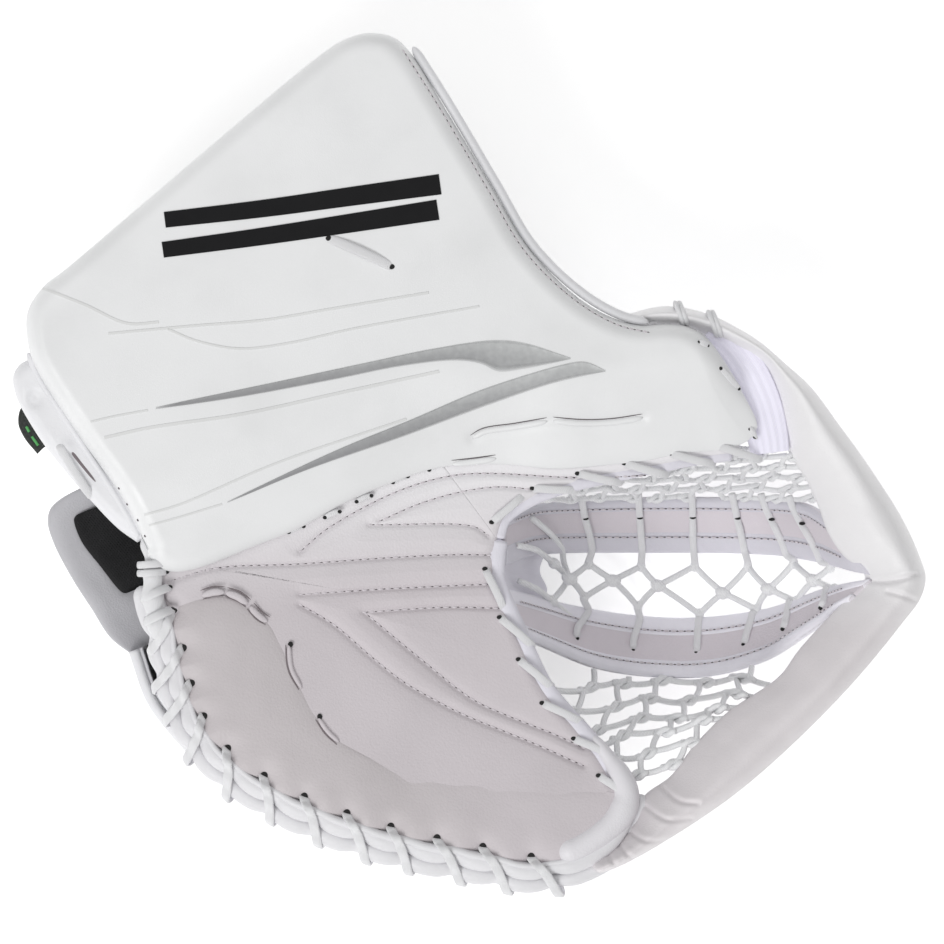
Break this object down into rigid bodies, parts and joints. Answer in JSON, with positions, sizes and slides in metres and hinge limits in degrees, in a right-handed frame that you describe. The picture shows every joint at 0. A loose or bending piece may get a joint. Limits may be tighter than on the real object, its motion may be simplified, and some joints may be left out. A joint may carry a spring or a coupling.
{
  "type": "goalie catch glove",
  "caption": "Ice hockey goalkeeper's catching glove: moulded cuff and thumb, folding palm, deep laced pocket, padded rim, finger stalls and wrist strap.",
  "frame": {"origin": "middle of the bounding box, on the surface that the glove's back rests on", "axes": "+X from the wrist to the tip of the pocket rim, +Y from the fingers to the end of the cuff, +Z out of the palm"},
  "size_m": [0.4026, 0.3801, 0.121],
  "materials": {
    "white_board": "smooth satin",
    "white_leather": "satin grain",
    "palm_leather": "matt grain",
    "webbing": "woven",
    "lace": "flat lace",
    "net": "braided cord",
    "foam": "closed-cell foam",
    "board": "matt sheet",
    "black_liner": "brushed lining",
    "black_tab": "matt"
  },
  "bodies": {
    "finger_side": {"palm_skin": "palm_leather", "palm_padding": "foam", "palm_liner": "black_liner", "finger_pad": "palm_leather", "palm_pocket_binding": "white_leather", "palm_corner_roll": "white_leather", "rim_finger_cover": "white_leather", "rim_finger_core": "foam", "pocket_net_lower": "net", "perimeter_roll_1": "white_leather", "perimeter_roll_2": "white_leather", "perimeter_roll_3": "white_leather", "perimeter_lace": "lace", "backhand_cover": "white_leather", "backhand_foam": "foam", "finger_stall_1": "black_liner", "finger_stall_2": "black_liner", "finger_stall_3": "black_liner", "finger_stall_4": "black_liner", "hand_strap": "black_liner"},
    "thumb_side": {"cuff_face": "white_board", "cuff_foam": "foam", "cuff_stiffener": "board", "cuff_liner": "black_liner", "closure_patch": "black_liner", "cuff_side_strip": "white_leather", "cuff_edge_piping": "white_leather", "cuff_face_lace": "lace", "palm_skin_thumb": "palm_leather", "palm_padding_thumb": "foam", "thumb_pocket_binding": "white_leather", "rim_thumb_cover": "white_leather", "rim_thumb_core": "foam", "rim_webbing_strap": "webbing", "rim_tie_lace_1": "lace", "rim_tie_lace_2": "lace", "thumb_stall": "black_liner", "thumb_guard": "white_leather", "pocket_net_upper": "net"},
    "pocket": {"pocket_strap_upper": "white_leather", "pocket_strap_lower": "white_leather", "pocket_net_middle": "net"},
    "wrist_flap": {"wrist_flap_cover": "white_leather", "wrist_flap_liner": "black_liner"},
    "wrist_strap": {"wrist_strap": "white_leather", "wrist_strap_pad": "black_liner", "strap_pull_tab": "black_tab"}
  },
  "joints": [
    {"name": "glove_close", "type": "hinge", "parent": "finger_side", "child": "thumb_side", "pos_m": [0.0003, -0.0478, 0.091], "axis": [1, 0, 0], "range_deg": [0, 65], "stiffness_Nm_per_rad": 0.35},
    {"name": "pocket_fold", "type": "hinge", "parent": "finger_side", "child": "pocket", "pos_m": [0.0003, -0.0478, 0.091], "axis": [1, 0, 0], "range_deg": [0, 32.5]},
    {"name": "wrist_strap_open", "type": "hinge", "parent": "thumb_side", "child": "wrist_strap", "pos_m": [-0.06285, 0.07794, 0.074], "axis": [0.399, -0.917, 0], "range_deg": [0, 80]},
    {"name": "wrist_flap_open", "type": "hinge", "parent": "finger_side", "child": "wrist_flap", "pos_m": [-0.1377, -0.0688, 0.046], "axis": [-0.5233, -0.8522, 0], "range_deg": [0, 25], "stiffness_Nm_per_rad": 0.1, "springref_deg": -11.46}
  ],
  "couplings": [
    {"joint": "pocket_fold", "follows": "glove_close", "ratio": 0.5}
  ]
}
